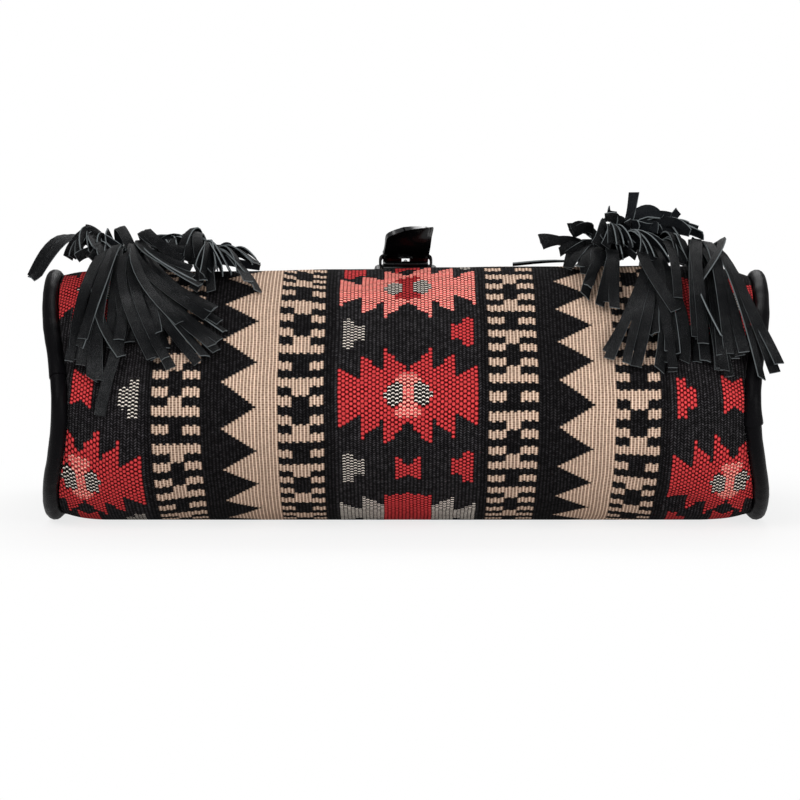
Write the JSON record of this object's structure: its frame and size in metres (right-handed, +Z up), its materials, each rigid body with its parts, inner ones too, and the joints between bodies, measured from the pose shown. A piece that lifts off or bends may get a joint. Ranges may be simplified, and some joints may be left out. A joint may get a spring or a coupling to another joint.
{
  "type": "kilim saddle bag",
  "caption": "Kilim bag with leather gussets, piping, a strapped flap and fringed leather tassels, lying on its back panel.",
  "frame": {"origin": "centre of the bounding box's base, on the surface the back panel lies on", "axes": "+X along the bag's width, +Y from the bottom edge to the mouth, +Z up, out of the front"},
  "size_m": [0.4074, 0.2868, 0.1851],
  "materials": {
    "kilim_cloth": "thick flat weave: black ground with tan, red, pink and white motifs",
    "lining_cotton": "plain dark cotton",
    "black_leather": "black grained leather, satin",
    "piping_leather": "black leather over a cord, satin",
    "fringe_leather": "dull black leather strips with grey cut edges",
    "dark_metal": "black nickel, semi-gloss"
  },
  "bodies": {
    "bag": {"kilim_body": "kilim_cloth", "flap": "kilim_cloth", "lining": "lining_cotton", "gusset_left": "black_leather", "gusset_right": "black_leather", "gusset_binding_left": "black_leather", "gusset_binding_right": "black_leather", "mouth_binding": "black_leather", "flap_binding": "black_leather", "top_band": "black_leather", "buckle_chape": "black_leather", "strap_keeper": "black_leather", "closure_strap": "black_leather", "ring_tab_left": "black_leather", "ring_tab_right": "black_leather", "piping_front_left": "piping_leather", "piping_front_right": "piping_leather", "piping_back_left": "piping_leather", "piping_back_right": "piping_leather", "tassel_strips_left_outer": "fringe_leather", "tassel_collar_left_outer": "black_leather", "tassel_tab_left_outer": "black_leather", "tassel_strips_left_middle": "fringe_leather", "tassel_collar_left_middle": "black_leather", "tassel_tab_left_middle": "black_leather", "tassel_strips_left_inner": "fringe_leather", "tassel_collar_left_inner": "black_leather", "tassel_tab_left_inner": "black_leather", "tassel_strips_right_inner": "fringe_leather", "tassel_collar_right_inner": "black_leather", "tassel_tab_right_inner": "black_leather", "tassel_strips_right_middle": "fringe_leather", "tassel_collar_right_middle": "black_leather", "tassel_tab_right_middle": "black_leather", "tassel_strips_right_outer": "fringe_leather", "tassel_collar_right_outer": "black_leather", "tassel_tab_right_outer": "black_leather"},
    "ring_left": {"strap_ring_left": "dark_metal"},
    "ring_right": {"strap_ring_right": "dark_metal"},
    "buckle": {"buckle_frame": "dark_metal"},
    "prong": {"buckle_prong": "dark_metal"}
  },
  "joints": [
    {"name": "ring_left_swing", "type": "hinge", "parent": "bag", "child": "ring_left", "pos_m": [-0.2001, 0.1106, 0.056], "axis": [0, 0, 1], "range_deg": [0, 150]},
    {"name": "ring_right_swing", "type": "hinge", "parent": "bag", "child": "ring_right", "pos_m": [0.2001, 0.1106, 0.056], "axis": [0, 0, -1], "range_deg": [0, 150]},
    {"name": "buckle_tilt", "type": "hinge", "parent": "bag", "child": "buckle", "pos_m": [0, -0.02316, 0.13797], "axis": [1, 0, 0], "range_deg": [0, 10]},
    {"name": "prong_lift", "type": "hinge", "parent": "buckle", "child": "prong", "pos_m": [0, -0.02316, 0.13797], "axis": [1, 0, 0], "range_deg": [0, 18]}
  ]
}
